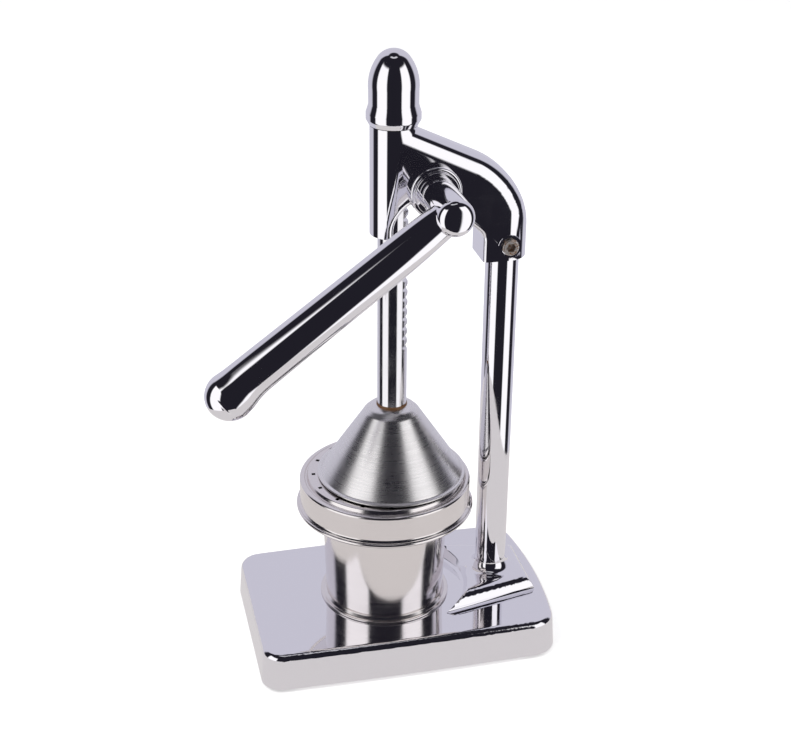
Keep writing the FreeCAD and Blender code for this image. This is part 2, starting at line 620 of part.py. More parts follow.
def makeBearings():
    pivot = (size("pivotBack"), size("pivotUp"))
    bore, outer = size("shaftRadius + runningGap"), size("shaftRadius + bushWall")
    inner = size("pinionWide / 2 + slotGap")
    near, far = size("bossNear"), size("bossFar")
    bushes = [across(outer, *pivot, inner, near).cut(across(bore, *pivot, inner - 1, near + 1)),
              across(outer, *pivot, -far, -inner).cut(across(bore, *pivot, -far - 1, 1 - inner))]
    feature("shaft_bushes", Part.makeCompound(bushes))

    radius, gap = size("shaftRadius"), size("faceGap")
    tail = -far - size("shaftTail")
    hubStart = near + 2 * gap + size("bossWasherThick")
    shaft = across(radius, *pivot, tail, hubStart + size("shaftInHub"))
    washerEnd = -far - gap - size("endWasherThick")
    clipEnd = washerEnd - gap / 3 - size("clipThick")
    groove = across(radius + 1, *pivot, clipEnd, clipEnd + size("clipThick"))
    groove = groove.cut(across(radius - size("clipGroove"), *pivot, clipEnd - 1, washerEnd + 1))
    flat = setScrewBlock(size("hubRadius"))
    feature("lever_shaft", shaft.cut([groove, keyBlock(), flat]))
    feature("pinion_key", keyBlock())

    washer = across(size("endWasherRadius"), *pivot, washerEnd, -far - gap)
    feature("shaft_end_washer", washer.cut(across(radius, *pivot, washerEnd - 1, 0)))
    clip = across(size("clipRadius"), *pivot, clipEnd, clipEnd + size("clipThick"))
    clip = clip.cut(across(radius - size("clipGroove"), *pivot, clipEnd - 1, 0))
    corner = V(clipEnd - radius, pivot[0] - radius / 2, pivot[1] + radius / 2)
    mouth = Part.makeBox(3 * radius, radius, 2 * radius, corner)
    feature("shaft_clip", clip.cut(mouth))
    ring = across(size("bossWasherRadius"), *pivot, near + gap, near + gap + size("bossWasherThick"))
    feature("boss_washer", ring.cut(across(radius, *pivot, near, hubStart + 1)))


def setScrewBlock(long):
    # the set screw's straight hole, square to the shaft and opposite the arm
    drop = math.radians(size("armDrop"))
    out = V(0, math.cos(drop), math.sin(drop))
    axis = V(size("setScrewOut"), size("pivotBack"), size("pivotUp"))
    start = axis + out * size("shaftRadius - setScrewBite")
    return Part.makeCylinder(size("setScrewRadius"), long, start, out)


def makeSetScrew():
    long = size("hubRadius - shaftRadius")
    screw = setScrewBlock(long)
    out = screw.Faces[0].Surface.Axis
    start = screw.CenterOfMass + out * (long / 2 - size("setScrewSocketDeep"))
    socket = Part.makeCylinder(size("setScrewSocket"), long, start, out)
    return feature("lever_set_screw", screw.cut(socket))


def makeLever():
    pivot = V(0, size("pivotBack"), size("pivotUp"))
    start = size("bossNear + 2 * faceGap + bossWasherThick")
    radius, end, dome, edge = size("hubRadius"), size("hubEnd"), size("hubDome"), size("hubEdge")
    ball = (radius ** 2 + dome ** 2) / (2 * dome)
    lean = math.asin(radius / ball) / 2
    halfway = V(end + dome - ball + ball * math.cos(lean), ball * math.sin(lean), 0)
    edges = [
        Part.LineSegment(V(start, 0, 0), V(start, radius - edge, 0)).toShape(),
        Part.LineSegment(V(start, radius - edge, 0), V(start + edge, radius, 0)).toShape(),
        Part.LineSegment(V(start + edge, radius, 0), V(end, radius, 0)).toShape(),
        Part.Arc(V(end, radius, 0), halfway, V(end + dome, 0, 0)).toShape(),
        Part.LineSegment(V(end + dome, 0, 0), V(start, 0, 0)).toShape(),
    ]
    hub = Part.Face(Part.Wire(edges)).revolve(V(), V(1, 0, 0), 360)
    hub.translate(pivot)

    # the arm points down and to the front; its sections are flattened circles
    drop = math.radians(size("armDrop"))
    along = V(0, -math.cos(drop), -math.sin(drop))
    upward = V(0, -math.sin(drop), math.cos(drop))
    root = pivot + V(size("armOut"), 0, 0)
    flat = size("armFlat")

    def section(distance, half):
        centre = root + along * distance
        ring = Part.Ellipse(centre + upward * half, centre + V(half * flat, 0, 0), centre)
        return Part.Wire(ring.toShape())

    long = size("armLong")
    arm = Part.makeLoft([section(0, size("armRoot")), section(long * 0.5, size("(armRoot + armTip) / 2")),
                         section(long, size("armTip"))], True)
    squash = FreeCAD.Matrix()
    squash.A11 = flat
    bulb = Part.makeSphere(size("bulbRadius")).transformGeometry(squash)
    bulb.translate(root + along * size("bulbAt") - upward * size("bulbDrop"))
    lever = hub.fuse([arm, bulb])
    bore = across(size("shaftRadius"), pivot.y, pivot.z, start - 1, start + size("shaftInHub"))
    return feature("lever_arm", lever.cut([bore, setScrewBlock(2 * radius)]))


# Turned pieces: cap, collar and bell on the press axis, cup on an axis further forward.

def makeTurned():
    turned("cap_knob", [
        ("topStudRadius", "capLow"),
        ("skirtRadius - skirtLip", "capLow"),
        ("skirtRadius", "capLow + skirtLow"),
        ("skirtRadius", "capLow + skirtHigh"),
        ("capRadius", "capLow + waistUp"),
        ("capRadius", "capLow + capBodyTall", "capBend"),
        ("crownRadius", "capTop - crownTall", "(crownRadius ^ 2 + crownTall ^ 2) / (2 * crownTall)"),
        ("0", "capTop"),
        ("0", "capLow + topStudLong"),
        ("topStudRadius", "capLow + topStudLong"),
    ])
    turned("rod_collar", [
        ("rodRadius", "bellTop"),
        ("rodRadius + collarWall", "bellTop", "collarTall"),
        ("rodRadius + collarWall", "bellTop + collarTall"),
        ("rodRadius", "bellTop + collarTall"),
    ])
    turned("press_bell", [
        ("studRadius + boltGap", "bellTop - bellWall"),
        ("bellDisc - bellWall", "bellTop - bellWall"),
        ("bellMouth - bellWall", "bellMouthUp"),
        ("bellMouth - bellWall", "bellRimLow"),
        ("bellRimRadius", "bellRimLow"),
        ("bellRimRadius", "bellMouthUp - bellRimEdge", "bellRimEdge"),
        ("bellRimRadius - bellRimEdge", "bellMouthUp"),
        ("bellMouth", "bellMouthUp"),
        ("bellDisc", "bellTop - bellDiscEdge"),
        ("bellDisc - bellDiscEdge", "bellTop"),
        ("studRadius + boltGap", "bellTop"),
    ])
    turned("juice_cup", [
        ("0", "cupFloor"),
        ("cupLowRadius - cupWall", "cupFloor"),
        ("cupFootRadius - cupWall", "baseTop"),
        ("cupFootRadius", "baseTop"),
        ("cupFootRadius", "baseTop + cupWall"),
        ("cupLowRadius", "cupBodyLow"),
        ("cupHighRadius", "cupBodyHigh"),
        ("cupLipRadius - cupLipThick", "cupLipUp"),
        ("cupLipRadius", "cupLipUp"),
        ("cupLipRadius", "cupTop"),
        ("cupLipRadius - 2 * cupLipThick", "cupTop"),
        ("cupHighRadius - cupWall", "cupBodyHigh + cupWall"),
        ("cupLowRadius - cupWall", "cupFloor + cupWall"),
        ("0", "cupFloor + cupWall"),
    ], "pressY - cupForward")


def makePan():
    # a band that stands on the cup's lip, a groove inside its shoulder and a raised plate with drain holes
    body = turned("strainer_pan", [
        ("panMouth", "plateUp - panWall"),
        ("plateRadius - panWall", "plateUp - panWall"),
        ("grooveRadius - panWall", "grooveUp - panWall"),
        ("panRadius - panWall", "grooveUp - panWall"),
        ("panRadius - panWall", "cupTop + flareTall"),
        ("panFlare - panWall", "cupTop"),
        ("panFlare", "cupTop"),
        ("panRadius", "cupTop + flareTall"),
        ("panRadius", "panTop - panShoulder", "panShoulder"),
        ("panRadius - panShoulder", "panTop"),
        ("grooveRadius", "grooveUp"),
        ("plateRadius", "plateUp"),
        ("panMouth", "plateUp"),
    ], "pressY - cupForward")
    inner, outer = "drainCircle - drainSide / 2", "drainCircle + drainSide / 2"
    sketch = outline(sketchOn(body, "XY_Plane", "DrainOutline", "plateUp"), [
        (inner, "-drainSide / 2"),
        (outer, "-drainSide / 2"),
        (outer, "drainSide / 2"),
        (inner, "drainSide / 2"),
    ])
    drain = grow(body, "Pocket", "Drain", sketch, "panWall")
    around = body.newObject("PartDesign::PolarPattern", "DrainRing")
    around.Originals = [drain]
    axis = [item for item in body.Origin.OriginFeatures if item.Role == "Z_Axis"][0]
    around.Axis = (axis, [""])
    around.Angle = 360
    bind(around, Occurrences="drainCount")
    body.Tip = around
    doc.recompute()
    return body


def makeReamer():
    # a fluted dome whose flange lies under the strainer's plate, with juice slots round its foot
    wall, radius, flange = size("reamerWall"), size("reamerRadius"), size("reamerFlange")
    low, top = size("plateUp - panWall - reamerWall"), size("reamerTop")
    tall = top - low

    def solid(inset):
        # steep side, leaning shoulder, round crown
        side = [
            V(radius - inset, 0, low),
            V(radius * 0.86 - inset, 0, low + tall * 0.36),
            V(radius * 0.52 - inset, 0, low + tall * 0.75),
            V(0, 0, top - inset),
        ]
        curve = Part.BSplineCurve()
        curve.interpolate(side, InitialTangent=V(-0.15, 0, 1), FinalTangent=V(-1, 0, 0))
        foot = V(0, 0, low)
        lines = [Part.LineSegment(side[-1], foot).toShape(), Part.LineSegment(foot, side[0]).toShape()]
        return Part.Face(Part.Wire([curve.toShape(), *lines])).revolve(V(), V(0, 0, 1), 360)

    # each rib is a thin radial slice of a slightly larger dome
    proud = solid(-size("ribTall"))
    ribs, slots = [], []
    for rib in range(round(size("ribCount"))):
        wide = size("ribWide")
        slab = Part.makeBox(radius + flange, wide, top, V(wide, -wide / 2, low))
        slab.rotate(V(), V(0, 0, 1), 360 * rib / round(size("ribCount")))
        ribs.append(proud.common(slab))
    plate = Part.makeCylinder(flange, wall, V(0, 0, low))
    dome = solid(0).fuse([*ribs, plate]).cut(solid(wall))
    for slot in range(round(size("slotCount"))):
        wide = size("slotWide")
        corner = V(radius * 0.8, -wide / 2, size("plateUp") + wall)
        block = Part.makeBox(radius, wide, size("slotTall"), corner)
        block.rotate(V(), V(0, 0, 1), 360 * (slot + 0.5) / round(size("slotCount")))
        slots.append(block)
    return feature("reamer_dome", dome.cut(slots), "pressY - cupForward")


def makeBellNut():
    block = primitive("Prism", "NutBlock", Polygon="6", Circumradius="nutAcross / cos(30 deg)",
                      Height="nutTall")
    bore = primitive("Cylinder", "NutBore", Radius="studRadius", Height="nutTall")
    place(combine("Cut", "bell_nut", block, bore), z="bellTop - bellWall - nutTall")


makeBase()
makeFeet()
makeFootScrews()
makeColumn()
makeHead()
makeClampScrew()
makePinion()
makeRod()
makeBearings()
makeSetScrew()
makeLever()
makeTurned()
makePan()
makeReamer()
makeBellNut()
doc.recompute()

nodes = [
    "base_casting", "rubber_feet", "foot_screws", "column_tube", "column_plug", "column_bolt",
    "column_washer", "head_casting", "head_clamp_screw", "shaft_bushes", "juice_cup", "strainer_pan",
    "reamer_dome", "rack_rod", "cap_knob", "rod_collar", "press_bell", "bell_nut", "lever_arm",
    "lever_shaft", "lever_set_screw", "drive_pinion", "pinion_key", "boss_washer", "shaft_end_washer",
    "shaft_clip",
]
failed = [item.Label for item in doc.Objects if "Invalid" in item.State or "Error" in item.State]
for node in nodes:
    shape = doc.getObjectsByLabel(node)[0].Shape
    if shape.isNull() or not shape.isValid() or not shape.Solids:
        failed.append(node)
if failed:
    raise RuntimeError(f"these did not build: {failed}")
os.makedirs("parts", exist_ok=True)
for node in nodes:
    shape = doc.getObjectsByLabel(node)[0].Shape
    shape.exportStep(f"parts/{node}.step")
    print(node, len(shape.Solids), round(shape.Volume))
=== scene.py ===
import json
import math

import bmesh
import bpy
from mathutils import Matrix, Vector


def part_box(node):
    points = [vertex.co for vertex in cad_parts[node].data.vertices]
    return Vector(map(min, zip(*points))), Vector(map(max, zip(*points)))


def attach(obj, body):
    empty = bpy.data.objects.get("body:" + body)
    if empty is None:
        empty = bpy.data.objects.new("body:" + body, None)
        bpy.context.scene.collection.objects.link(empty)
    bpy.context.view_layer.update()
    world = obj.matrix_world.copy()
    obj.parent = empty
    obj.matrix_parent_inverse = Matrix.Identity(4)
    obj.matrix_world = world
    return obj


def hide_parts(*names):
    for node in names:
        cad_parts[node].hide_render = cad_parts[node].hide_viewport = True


# Looks of the lever citrus press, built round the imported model. Sizes are in mm and turned into metres.
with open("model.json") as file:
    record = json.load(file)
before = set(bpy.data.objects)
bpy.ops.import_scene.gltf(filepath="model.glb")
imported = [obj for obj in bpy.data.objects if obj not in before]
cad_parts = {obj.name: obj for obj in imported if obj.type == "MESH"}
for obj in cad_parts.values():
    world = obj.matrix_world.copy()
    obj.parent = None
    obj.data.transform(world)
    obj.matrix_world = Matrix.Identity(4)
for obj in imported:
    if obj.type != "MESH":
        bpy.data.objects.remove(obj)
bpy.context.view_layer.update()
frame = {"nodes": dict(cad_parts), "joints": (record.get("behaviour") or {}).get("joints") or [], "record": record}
nodes = frame["nodes"]
scene = bpy.context.scene
mm = 0.001


def middle(node):
    low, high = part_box(node)
    return (low + high) / 2


# places that everything hangs on, read from the frame
press = middle("press_bell")
cupAxis = middle("juice_cup")
column = middle("column_tube")
leverJoint = [joint for joint in frame["joints"] if joint["name"] == "lever_turn"][0]
pivot = Vector(leverJoint["pos_m"])


# Meshes and pieces

def bakeModifiers(piece):
    # the evaluated mesh takes the place of the live modifiers
    bpy.context.view_layer.update()
    graph = bpy.context.evaluated_depsgraph_get()
    baked = bpy.data.meshes.new_from_object(piece.evaluated_get(graph), preserve_all_data_layers=True,
                                            depsgraph=graph)
    baked.name = piece.data.name
    piece.modifiers.clear()
    piece.data = baked


bigFaceWeight = 80
joinWithin, loseUnder = 2e-6, 1e-6  # metres between corners, and the shortest edge that stays
flatWithin = 0.15  # degrees between the triangles of one flat
rimSegments = 4
onAxis = 0.01  # mm from the axis within which an outline's point is on it
sideShare = 0.49  # a corner's rounding takes no more of either side


def settleNormals(piece, sharpAngle):
    # big faces keep their own direction, so flats stay flat beside small rounded edges
    mesh = piece.data
    mesh.polygons.foreach_set("use_smooth", [True] * len(mesh.polygons))
    mesh.set_sharp_from_angle(angle=math.radians(sharpAngle))
    weighted = piece.modifiers.new("flatFaces", "WEIGHTED_NORMAL")
    weighted.mode = "FACE_AREA"
    weighted.weight = bigFaceWeight
    weighted.keep_sharp = True
    bakeModifiers(piece)


def newPiece(name, mesh, material, sharpAngle=38):
    piece = bpy.data.objects.new(name, mesh)
    scene.collection.objects.link(piece)
    piece.data.materials.clear()
    piece.data.materials.append(material)
    settleNormals(piece, sharpAngle)
    return piece


def meshFrom(name, points, faces):
    mesh = bpy.data.meshes.new(name)
    mesh.from_pydata([tuple(point) for point in points], [], faces)
    shape = bmesh.new()
    shape.from_mesh(mesh)
    bmesh.ops.recalc_face_normals(shape, faces=shape.faces)
    shape.to_mesh(mesh)
    shape.free()
    return mesh


def mergedCopy(node, rounding=None):
    # the CAD node's loose triangles, joined at their corners, with each flat made one face;
    # rounding is a test that picks edges and the radius that they get, in mm
    shape = bmesh.new()
    shape.from_mesh(nodes[node].data)
    bmesh.ops.remove_doubles(shape, verts=shape.verts, dist=joinWithin)
    bmesh.ops.dissolve_degenerate(shape, edges=shape.edges, dist=loseUnder)
    bmesh.ops.dissolve_limit(shape, angle_limit=math.radians(flatWithin), verts=shape.verts,
                             edges=shape.edges)
    if rounding:
        picked, radius = rounding
        edges = [edge for edge in shape.edges if len(edge.link_faces) == 2 and picked(edge)]
        bmesh.ops.bevel(shape, geom=edges, offset=radius * mm, offset_type="OFFSET", segments=rimSegments,
                        profile=0.5, affect="EDGES", clamp_overlap=True)
    mesh = bpy.data.meshes.new(node)
    shape.to_mesh(mesh)
    shape.free()
    return mesh


def softened(corners, steps=5):
    # a closed outline: each corner is radius, height and the rounding there, in mm
    points = []
    count = len(corners)
    for index, (radius, height, rounding) in enumerate(corners):
        here = Vector((radius, height))
        if rounding <= 0:
            points.append(here)
            continue
        before = Vector(corners[index - 1][:2]) - here
        after = Vector(corners[(index + 1) % count][:2]) - here
        half = before.angle(after) / 2
        reach = min(rounding / math.tan(half), before.length * sideShare, after.length * sideShare)
        before.normalize()
        after.normalize()
        centre = here + (before + after).normalized() * (reach / math.cos(half))
        start, end = here + before * reach - centre, here + after * reach - centre
        turn = math.pi - 2 * half
        for step in range(steps + 1):
            share = step / steps
            point = start * math.sin(turn * (1 - share)) + end * math.sin(turn * share)
            points.append(centre + point / math.sin(turn))
    return points


def lathe(name, outline, axis, segments=160):
    # spins a closed outline of radius and height in mm round an upright axis
    points, faces, rings = [], [], []
    for radius, height in outline:
        if radius < onAxis:
            rings.append([len(points)])
            points.append((axis.x, axis.y, height * mm))
            continue
        rings.append(list(range(len(points), len(points) + segments)))
        for segment in range(segments):
            angle = 2 * math.pi * segment / segments
            points.append((axis.x + radius * mm * math.cos(angle), axis.y + radius * mm * math.sin(angle),
                           height * mm))
    for index, lower in enumerate(rings):
        upper = rings[(index + 1) % len(rings)]
        if len(lower) == 1 and len(upper) == 1:
            continue
        for segment in range(segments):
            after = (segment + 1) % segments
            if len(lower) == 1:
                faces.append((lower[0], upper[after], upper[segment]))
            elif len(upper) == 1:
                faces.append((lower[segment], lower[after], upper[0]))
            else:
                faces.append((lower[segment], lower[after], upper[after], upper[segment]))
    return meshFrom(name, points, faces)


# Finishes

def newFinish(name, color, metallic, roughness):
    material = bpy.data.materials.new(name)
    material.use_nodes = True
    shader = material.node_tree.nodes["Principled BSDF"]
    shader.inputs["Base Color"].default_value = (*color, 1)
    shader.inputs["Metallic"].default_value = metallic
    shader.inputs["Roughness"].default_value = roughness
    return material, material.node_tree, shader


def patternOn(tree, kind, scale, stretch=(1, 1, 1), **settings):
    # a texture on object coordinates, in metres
    place = tree.nodes.new("ShaderNodeTexCoord")
    mapping = tree.nodes.new("ShaderNodeMapping")
    mapping.inputs["Scale"].default_value = stretch
    texture = tree.nodes.new(f"ShaderNodeTex{kind}")
    texture.inputs["Scale"].default_value = scale
    for socket, value in settings.items():
        texture.inputs[socket].default_value = value
    tree.links.new(place.outputs["Object"], mapping.inputs["Vector"])
    tree.links.new(mapping.outputs["Vector"], texture.inputs["Vector"])
    return texture


def between(tree, value, low, high, darkAt=0.0, lightAt=1.0):
    # maps a 0 to 1 pattern onto a range of roughness or height
    spread = tree.nodes.new("ShaderNodeMapRange")
    spread.inputs["From Min"].default_value = darkAt
    spread.inputs["From Max"].default_value = lightAt
    spread.inputs["To Min"].default_value = low
    spread.inputs["To Max"].default_value = high
    tree.links.new(value, spread.inputs["Value"])
    return spread.outputs["Result"]


def addBump(tree, shader, height, deep):
    # deep is the height of the relief in mm
    bump = tree.nodes.new("ShaderNodeBump")
    bump.inputs["Distance"].default_value = deep * mm
    bump.inputs["Strength"].default_value = 1.0
    tree.links.new(height, bump.inputs["Height"])
    used = shader.inputs["Normal"].links
    if used:
        tree.links.new(used[0].from_socket, bump.inputs["Normal"])
    tree.links.new(bump.outputs["Normal"], shader.inputs["Normal"])


chromeLook = {"color": (0.86, 0.85, 0.88), "gloss": 0.03, "smudge": 0.10, "smudgeScale": 45,
              "smudgeRange": (0.45, 0.75), "waveScale": 55, "waveDeep": 0.012, "pitScale": 900,
              "pitDeep": 0.0012}


def makeChrome(name, look):
    material, tree, shader = newFinish(name, look["color"], 1.0, look["gloss"])
    smudge = patternOn(tree, "Noise", look["smudgeScale"], Detail=6, Roughness=0.6)
    tree.links.new(between(tree, smudge.outputs["Fac"], look["gloss"], look["smudge"],
                           *look["smudgeRange"]), shader.inputs["Roughness"])
    wave = patternOn(tree, "Noise", look["waveScale"], Detail=1)
    addBump(tree, shader, wave.outputs["Fac"], look["waveDeep"])
    pits = patternOn(tree, "Noise", look["pitScale"], Detail=3)
    addBump(tree, shader, pits.outputs["Fac"], look["pitDeep"])
    return material


sheetLook = {"color": (0.83, 0.795, 0.785), "gloss": 0.10, "rough": 0.20, "roughRange": (0.35, 0.65),
             "grainScale": 900, "grainStretch": (0.02, 0.02, 1), "grainDeep": 0.0012,
             "streakScale": 60, "streakStretch": (1, 1, 0.15), "streakDeep": 0.0}
spunLook = {**sheetLook, "color": (0.84, 0.825, 0.82), "gloss": 0.24, "rough": 0.33, "grainScale": 1600,
            "grainDeep": 0.00015, "streakDeep": 0.012}


def makeSheet(name, look):
    # sheet polished on the lathe: fine level lines, and soft upright streaks where it was drawn
    material, tree, shader = newFinish(name, look["color"], 1.0, look["gloss"])
    grain = patternOn(tree, "Noise", look["grainScale"], look["grainStretch"], Detail=4)
    cloud = patternOn(tree, "Noise", look["streakScale"], Detail=5, Roughness=0.6)
    both = tree.nodes.new("ShaderNodeMath")  # half of each pattern, added up
    both.operation = "MULTIPLY_ADD"
    both.inputs[1].default_value = 0.5
    tree.links.new(cloud.outputs["Fac"], both.inputs[0])
    tree.links.new(between(tree, grain.outputs["Fac"], 0, 0.5), both.inputs[2])
    tree.links.new(between(tree, both.outputs["Value"], look["gloss"], look["rough"],
                           *look["roughRange"]), shader.inputs["Roughness"])
    addBump(tree, shader, grain.outputs["Fac"], look["grainDeep"])
    if look["streakDeep"]:
        streak = patternOn(tree, "Noise", look["streakScale"], look["streakStretch"], Detail=2)
        addBump(tree, shader, streak.outputs["Fac"], look["streakDeep"])
    return material


steelLook = {"grainScale": 700, "grainDeep": 0.004, "smoothest": 0.7, "roughest": 1.5, "rustScale": 420,
             "rustRange": (0.62, 0.72), "rustSpread": 0.3, "rustColor": (0.16, 0.075, 0.03),
             "rustMetal": 0.15}


def makeSteel(name, color, rough, rust=0.0, look=steelLook):
    # plain cut or plated steel, with rust in patches where asked for
    material, tree, shader = newFinish(name, color, 1.0, rough)
    grain = patternOn(tree, "Noise", look["grainScale"], Detail=5)
    tree.links.new(between(tree, grain.outputs["Fac"], rough * look["smoothest"], rough * look["roughest"]),
                   shader.inputs["Roughness"])
    addBump(tree, shader, grain.outputs["Fac"], look["grainDeep"])
    if rust:
        spots = patternOn(tree, "Noise", look["rustScale"], Detail=6, Roughness=0.7)
        start, full = (level - look["rustSpread"] * rust for level in look["rustRange"])
        mask = between(tree, spots.outputs["Fac"], 0, 1, start, full)
        blend = tree.nodes.new("ShaderNodeMix")
        blend.data_type = "RGBA"
        blend.inputs["A"].default_value = (*color, 1)
        blend.inputs["B"].default_value = (*look["rustColor"], 1)
        tree.links.new(mask, blend.inputs["Factor"])
        tree.links.new(blend.outputs["Result"], shader.inputs["Base Color"])
        tree.links.new(between(tree, mask, 1.0, look["rustMetal"]), shader.inputs["Metallic"])
    return material


rubberLook = {"color": (0.022, 0.021, 0.021), "grainScale": 1200, "grainDeep": 0.02,
              "roughRange": (0.5, 0.75)}


def makeRubber(name, look):
    material, tree, shader = newFinish(name, look["color"], 0.0, 0.6)
    grain = patternOn(tree, "Noise", look["grainScale"], Detail=3)
    tree.links.new(between(tree, grain.outputs["Fac"], *look["roughRange"]), shader.inputs["Roughness"])
    addBump(tree, shader, grain.outputs["Fac"], look["grainDeep"])
    return material


finishes = {
    "chrome": makeChrome("chromePlate", chromeLook),
    "rod_chrome": makeChrome("rodPlate", {**chromeLook, "color": (0.80, 0.79, 0.81), "gloss": 0.09,
                                          "smudge": 0.2, "waveDeep": 0.004}),
    "stainless": makeSheet("polishedSheet", sheetLook),
    "spun_steel": makeSheet("spunSheet", spunLook),
    "rubber": makeRubber("footRubber", rubberLook),
    "collar_brown": makeSteel("brownRing", (0.20, 0.11, 0.06), 0.4, rust=1.0),
    "bronze": makeSteel("bearingBronze", (0.62, 0.42, 0.22), 0.3),
    "gear_steel": makeSteel("cutSteel", (0.46, 0.46, 0.47), 0.3),
    "clamp_steel": makeSteel("rustyScrew", (0.55, 0.52, 0.50), 0.3, rust=0.5),
    "fastener_steel": makeSteel("zincSteel", (0.60, 0.60, 0.60), 0.28),
}
print("finishes made:", len(finishes))


# Pieces that keep the CAD's shape

slotOf = {entry["node"]: entry["material_slot"] for entry in frame["record"]["subparts"]}
bodyOf = {node: body for body, members in frame["record"]["behaviour"]["bodies"].items()
          for node in members}


def standIn(node, mesh, sharpAngle=38):
    # the piece shown in place of one CAD node, with its body, slot and finish
    piece = newPiece(node.replace("_", "-"), mesh, finishes[slotOf[node]], sharpAngle)
    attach(piece, bodyOf[node])
    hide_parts(node)
    return piece


for node, slot in slotOf.items():
    materials = nodes[node].data.materials
    materials.clear()
    materials.append(finishes[slot])


def fold(edge):
    return math.degrees(edge.calc_face_angle(0))


# mm, and the fold in degrees from which an edge counts as a rim
rims = {"base": 1.3, "boss": 1.4, "outside": 55, "nearEnd": 0.05, "foldFrom": 60}
baseMiddle = middle("base_casting")
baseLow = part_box("base_casting")[0].z + rims["nearEnd"] * mm
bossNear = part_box("head_casting")[1].x - rims["nearEnd"] * mm


def onBaseRim(edge):
    # the outer edge of the base's underside, not the hollow's
    if max(vert.co.z for vert in edge.verts) > baseLow or fold(edge) < rims["foldFrom"]:
        return False
    wall = min(edge.link_faces, key=lambda face: abs(face.normal.z))
    outward = (edge.verts[0].co + edge.verts[1].co) / 2 - baseMiddle
    outward.z = 0
    return wall.normal.dot(outward) > 0 and outward.length > rims["outside"] * mm


def onBossRim(edge):
    # the round edge of the lever boss
    return min(vert.co.x for vert in edge.verts) > bossNear and fold(edge) > rims["foldFrom"]


standIn("base_casting", mergedCopy("base_casting", (onBaseRim, rims["base"])))
standIn("head_casting", mergedCopy("head_casting", (onBossRim, rims["boss"])))
for node in ("rack_rod", "head_clamp_screw"):
    standIn(node, mergedCopy(node))
print("castings made")


# Turned pieces: closed outlines of radius, height and corner rounding

def turnedPiece(node, corners, axis, sharpAngle=38, segments=192):
    return standIn(node, lathe(node, softened(corners, 8), axis, segments), sharpAngle)


def arcPoints(start, end, bulge, count):
    # points between two corners on an arc that stands out by bulge, without the two ends
    first, last = Vector(start), Vector(end)
    chord = last - first
    across = Vector((chord.y, -chord.x)).normalized()
    radius = (chord.length ** 2 / 4 + bulge ** 2) / (2 * bulge)
    centre = (first + last) / 2 - across * (radius - bulge)
    startAngle = math.atan2(first.y - centre.y, first.x - centre.x)
    turn = math.atan2(last.y - centre.y, last.x - centre.x) - startAngle
    return [(centre.x + radius * math.cos(startAngle + turn * step / count),
             centre.y + radius * math.sin(startAngle + turn * step / count), 0) for step in range(1, count)]


def heights(node):
    # the node's lowest and highest point, in mm
    low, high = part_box(node)
    return {"low": low.z / mm, "top": high.z / mm}


cap = {**heights("cap_knob"), "bore": 6.0, "boreDeep": 22.0, "skirt": 15.8, "lip": 1.9, "skirtLow": 3.4,
       "skirtHigh": 7.2, "waist": 14.35, "waistUp": 11.8, "body": 14.4, "bodyUp": 20.0, "bodyBulge": 1.62,
       "shoulder": 9.65, "shoulderDown": 5.2, "crownBulge": 1.46, "arcSteps": 14}


def makeCap(look):
    low, top = look["low"], look["top"]
    bodyEnd = (look["body"], low + look["bodyUp"])
    shoulder = (look["shoulder"], top - look["shoulderDown"])
    turnedPiece("cap_knob", [
        (look["bore"], low, 0.3),
        (look["skirt"] - look["lip"], low, 0.5),
        (look["skirt"], low + look["skirtLow"], 2.0),
        (look["skirt"], low + look["skirtHigh"], 2.4),
        (look["waist"], low + look["waistUp"], 4.0),
        (*bodyEnd, 0),
        *arcPoints(bodyEnd, shoulder, look["bodyBulge"], look["arcSteps"]),
        (*shoulder, 0),
        *arcPoints(shoulder, (0, top), look["crownBulge"], look["arcSteps"]),
        (0, top, 0),
        (0, low + look["boreDeep"], 0),
        (look["bore"], low + look["boreDeep"], 0.3),
    ], press)


bell = {**heights("press_bell"), "wall": 1.5, "stud": 5.4, "collarRise": 1.7, "neck": 9.15,
        "shoulder": 13.6, "shoulderRise": 0.8, "disc": 15.5, "coneDown": 2.4, "mouth": 43.5, "rim": 46.5,
        "rimTall": 2.8, "rimThick": 1.2, "ringSink": 0.3, "ringTall": 1.3, "ringWide": 0.35}


def makeBell(look):
    top, low = look["top"], look["low"]
    mouthUp = low + look["rimTall"]
    coneDown = look["coneDown"]
    lean = (look["mouth"] - look["disc"]) / (top - mouthUp)
    turnedPiece("press_bell", [
        (look["stud"], top - look["wall"], 0.2),
        (look["disc"] - look["wall"], top - look["wall"], 2.0),
        (look["mouth"] - look["wall"], mouthUp, 1.0),
        (look["mouth"] - look["wall"] + 1, low, 0.4),
        (look["rim"], low, 0.5),
        (look["rim"], low + look["rimThick"], 0.55),
        (look["mouth"] + 0.9, low + look["rimThick"] + 0.1, 1.2),
        (look["disc"] + coneDown * lean, top - coneDown, 6.0),
        (look["shoulder"], top + look["shoulderRise"], 6.0),
        (look["neck"], top + look["collarRise"], 0.8),
        (look["stud"], top + look["collarRise"], 0.2),
    ], press)
    ringLow = top + look["collarRise"]
    turnedPiece("rod_collar", [
        (look["neck"] - 0.1, ringLow - look["ringSink"], 0),
        (look["neck"] + look["ringWide"], ringLow - look["ringSink"], 0.3),
        (look["neck"] + 0.2, ringLow + look["ringTall"], 0.25),
        (look["neck"] - 0.1, ringLow + 1.5, 0),
    ], press)


cup = {**heights("juice_cup"), "wall": 1.2, "foot": 41.5, "footGap": 0.2, "footThick": 1.3,
       "bodyLow": 37.7, "bodyHigh": 39.3, "bodyTop": 57.0, "floorUp": 4.0, "lip": 55.8, "lipThick": 2.5,
       "throat": 53.3}


